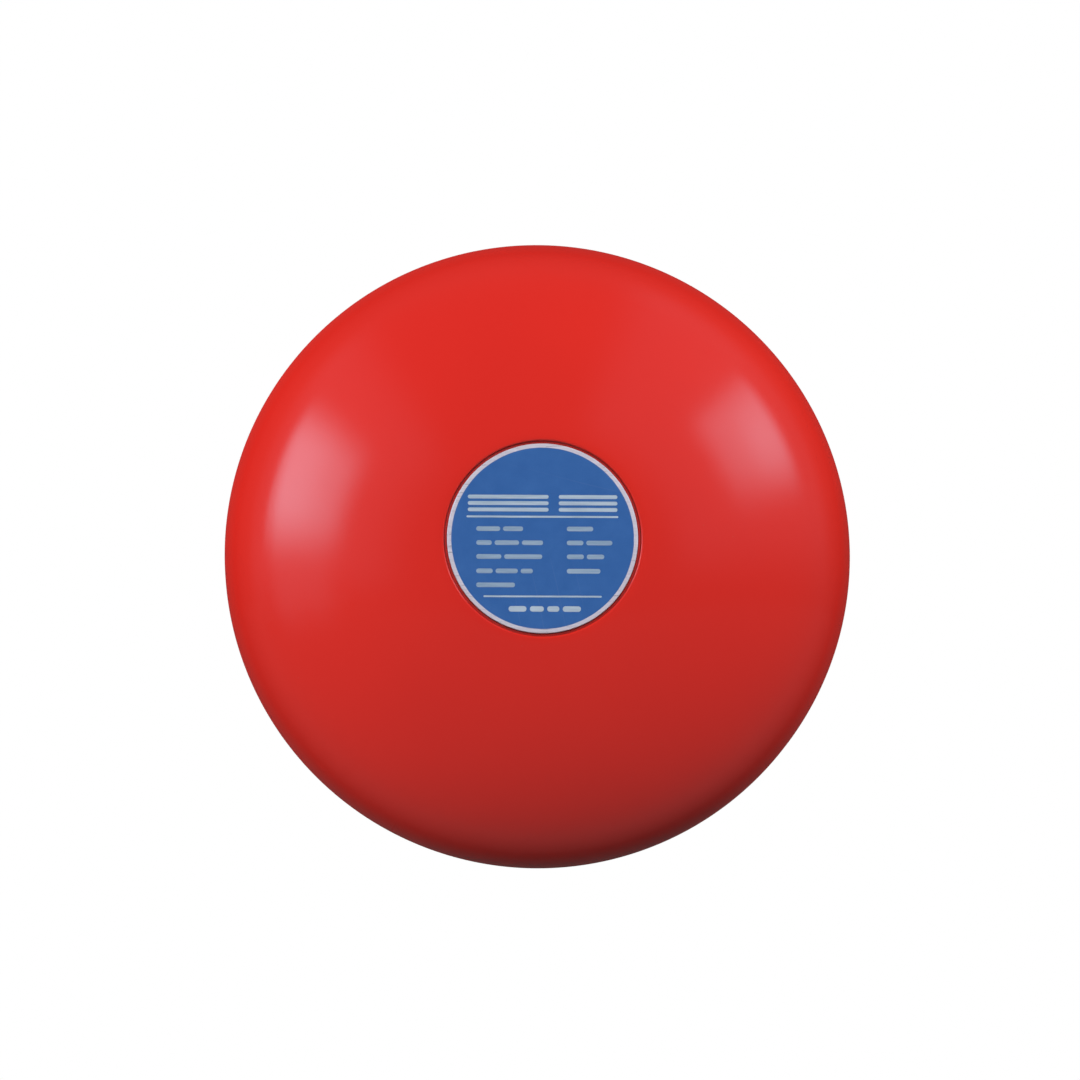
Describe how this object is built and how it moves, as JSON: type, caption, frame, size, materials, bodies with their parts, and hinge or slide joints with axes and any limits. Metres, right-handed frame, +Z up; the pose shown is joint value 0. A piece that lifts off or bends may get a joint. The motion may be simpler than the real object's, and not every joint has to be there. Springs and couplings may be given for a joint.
{
  "type": "alarm bell",
  "caption": "Round wall-mounted alarm bell: a domed gong with a round nameplate over a motor-driven striker in a housing on a steel back plate.",
  "frame": {"origin": "centre of the wall fixing circle, in the plane of the wall face", "axes": "+Y points into the wall, so the gong faces -Y; +Z is up; +X is to the right seen from the front"},
  "size_m": [0.15, 0.0595, 0.15],
  "materials": {
    "red_enamel": "gloss red enamel",
    "label_print": "printed blue and silver, satin",
    "zinc_steel": "zinc plated, satin",
    "bright_steel": "ground bright steel",
    "spring_steel": "dark oiled spring steel",
    "black_plastic": "fine moulded texture",
    "white_plastic": "natural moulded nylon",
    "black_rubber": "matt",
    "sintered_bronze": "oiled sintered",
    "brass": "turned",
    "copper_strip": "phosphor bronze strip",
    "copper_wire": "enamelled winding",
    "ferrite": "matt ground ferrite",
    "core_steel": "laminated, lacquered",
    "carbon": "matt graphite",
    "board_green": "solder resist on glass fibre board",
    "terminal_green": "moulded",
    "epoxy_black": "moulded epoxy",
    "film_yellow": "dipped film capacitor",
    "varistor_blue": "dipped epoxy",
    "wire_red": "wire insulation",
    "wire_black": "wire insulation"
  },
  "bodies": {
    "base": {"gong": "red_enamel", "nameplate": "label_print", "gong_nut": "zinc_steel", "lock_washer": "spring_steel", "flat_washer": "zinc_steel", "front_rubber_washer": "black_rubber", "rear_rubber_grommet": "black_rubber", "centre_post": "zinc_steel", "post_screw": "zinc_steel", "back_plate": "zinc_steel", "base_screws": "zinc_steel", "cable_grommet": "black_rubber", "mechanism_housing": "black_plastic", "housing_cover": "black_plastic", "cover_screws": "zinc_steel", "motor_can": "zinc_steel", "motor_end_cap": "white_plastic", "motor_magnets": "ferrite", "front_bearing": "sintered_bronze", "rear_bearing": "sintered_bronze", "brush_arms": "copper_strip", "carbon_brushes": "carbon", "motor_terminals": "copper_strip", "motor_bracket": "zinc_steel", "motor_screws": "zinc_steel", "bracket_screws": "zinc_steel", "stop_washer": "black_rubber", "return_spring": "bright_steel", "guide_bush": "brass", "circuit_board": "board_green", "board_screws": "zinc_steel", "terminal_block": "terminal_green", "terminal_screws": "bright_steel", "terminal_clamps": "zinc_steel", "diode": "epoxy_black", "capacitor": "film_yellow", "varistor": "varistor_blue", "motor_lead_red": "wire_red", "motor_lead_black": "wire_black"},
    "rotor": {"rotor_shaft": "bright_steel", "rotor_core": "core_steel", "rotor_windings": "copper_wire", "commutator": "copper_strip", "commutator_sleeve": "epoxy_black", "eccentric": "brass", "roller_retainer": "zinc_steel"},
    "roller": {"cam_roller": "bright_steel"},
    "striker": {"striker_rod": "bright_steel", "striker_foot": "white_plastic", "striker_tip": "white_plastic", "retaining_clip": "spring_steel"}
  },
  "joints": [
    {"name": "rotor_spin", "type": "hinge", "parent": "base", "child": "rotor", "pos_m": [0, -0.015, -0.0215], "axis": [0, -1, 0], "continuous": true},
    {"name": "roller_spin", "type": "hinge", "parent": "rotor", "child": "roller", "pos_m": [0, -0.026, -0.02275], "axis": [0, -1, 0], "continuous": true},
    {"name": "striker_slide", "type": "slide", "parent": "base", "child": "striker", "axis": [0, 0, -1], "range_m": [0, 0.0023], "stiffness_N_per_m": 400, "springref_m": -0.002, "deforming": ["return_spring"]}
  ]
}
